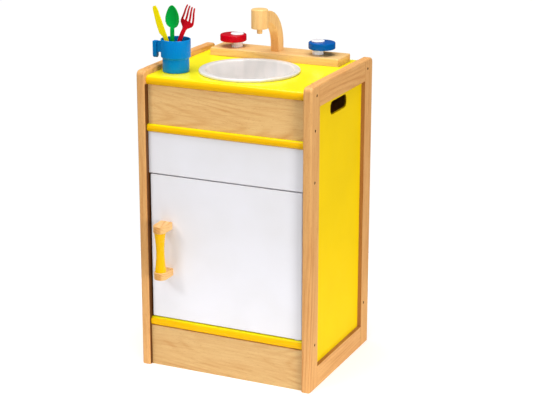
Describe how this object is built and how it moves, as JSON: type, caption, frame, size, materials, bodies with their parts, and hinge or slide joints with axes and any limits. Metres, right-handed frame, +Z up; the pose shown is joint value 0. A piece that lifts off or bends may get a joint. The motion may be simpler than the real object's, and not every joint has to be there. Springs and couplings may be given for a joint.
{
  "type": "toy kitchen",
  "caption": "Child's toy kitchen sink unit in lacquered wood: cupboard door, lift-out basin, swivel spout, turning tap knobs, and a cup of toy cutlery.",
  "frame": {"origin": "on the floor, midway between the two sides and midway between the front of the door handle and the back of the posts", "axes": "+X to the right as seen from the front, +Y to the back, +Z up"},
  "size_m": [0.364, 0.335, 0.7215],
  "materials": {
    "beech": "clear satin lacquer over pale beech, grain along each piece",
    "pale_beech": "clear lacquered turned beech",
    "yellow_lacquer": "smooth gloss yellow lacquer on board",
    "white_laminate": "smooth satin white laminate on board",
    "back_board": "thin plywood, clear sealed",
    "basin_plastic": "glossy white moulded plastic",
    "red_lacquer": "high gloss red",
    "blue_lacquer": "high gloss blue",
    "white_lacquer": "gloss white lacquered turned wood",
    "cup_plastic": "glossy blue moulded plastic",
    "knife_plastic": "glossy yellow moulded plastic",
    "spoon_plastic": "glossy green moulded plastic",
    "fork_plastic": "glossy red moulded plastic",
    "dark_steel": "blackened steel",
    "bright_steel": "zinc plated steel",
    "catch_plastic": "satin white moulded plastic"
  },
  "bodies": {
    "cabinet": {"left_front_post": "beech", "left_back_post": "beech", "left_top_rail": "beech", "left_bottom_rail": "beech", "left_side_panel": "yellow_lacquer", "left_dowels": "pale_beech", "left_frame_screws": "dark_steel", "right_front_post": "beech", "right_back_post": "beech", "right_top_rail": "beech", "right_bottom_rail": "beech", "right_side_panel": "yellow_lacquer", "right_dowels": "pale_beech", "right_frame_screws": "dark_steel", "worktop": "yellow_lacquer", "tap_ledge": "beech", "ledge_screws": "dark_steel", "hot_collar": "white_lacquer", "hot_peg": "white_lacquer", "cold_collar": "white_lacquer", "cold_peg": "white_lacquer", "fascia": "beech", "front_batten": "yellow_lacquer", "upper_panel": "white_laminate", "bottom_shelf": "yellow_lacquer", "plinth": "beech", "back_panel": "back_board", "door_pivot_pins": "bright_steel", "door_spacer": "catch_plastic", "magnetic_catch": "catch_plastic", "catch_screws": "bright_steel"},
    "door": {"door": "white_laminate", "strike_plate": "bright_steel", "handle_upper_block": "beech", "handle_lower_block": "beech", "handle_grip": "yellow_lacquer", "handle_screws": "bright_steel"},
    "spout": {"spout_arm": "beech", "spout_head": "pale_beech", "spout_nozzle": "pale_beech", "spout_axle": "pale_beech", "spout_washer": "bright_steel"},
    "hot_knob": {"hot_knob": "red_lacquer"},
    "cold_knob": {"cold_knob": "blue_lacquer"},
    "basin": {"basin": "basin_plastic"},
    "cup": {"cup": "cup_plastic"},
    "knife": {"knife": "knife_plastic"},
    "spoon": {"spoon": "spoon_plastic"},
    "fork": {"fork": "fork_plastic"}
  },
  "joints": [
    {"name": "door_hinge", "type": "hinge", "parent": "cabinet", "child": "door", "pos_m": [0.149, -0.119, 0.25], "axis": [0, 0, 1], "range_deg": [0, 100]},
    {"name": "hot_knob_turn", "type": "hinge", "parent": "cabinet", "child": "hot_knob", "pos_m": [-0.0905, 0.1165, 0.624], "axis": [0, 0, 1], "continuous": true},
    {"name": "cold_knob_turn", "type": "hinge", "parent": "cabinet", "child": "cold_knob", "pos_m": [0.0855, 0.1165, 0.624], "axis": [0, 0, 1], "continuous": true},
    {"name": "spout_swivel", "type": "hinge", "parent": "cabinet", "child": "spout", "pos_m": [-0.0025, 0.1165, 0.62], "axis": [0, 0, 1], "range_deg": [-90, 90]},
    {"name": "basin_lift", "type": "slide", "parent": "cabinet", "child": "basin", "axis": [0, 0, 1], "range_m": [0, 0.045]},
    {"name": "cup_lift", "type": "slide", "parent": "cabinet", "child": "cup", "axis": [0, 0, 1], "range_m": [0, 0.15]},
    {"name": "knife_pull", "type": "slide", "parent": "cup", "child": "knife", "axis": [-0.3584, 0, 0.9336], "range_m": [0, 0.12]},
    {"name": "spoon_pull", "type": "slide", "parent": "cup", "child": "spoon", "axis": [0, 0, 1], "range_m": [0, 0.12]},
    {"name": "fork_pull", "type": "slide", "parent": "cup", "child": "fork", "axis": [0.3746, 0, 0.9272], "range_m": [0, 0.12]}
  ]
}
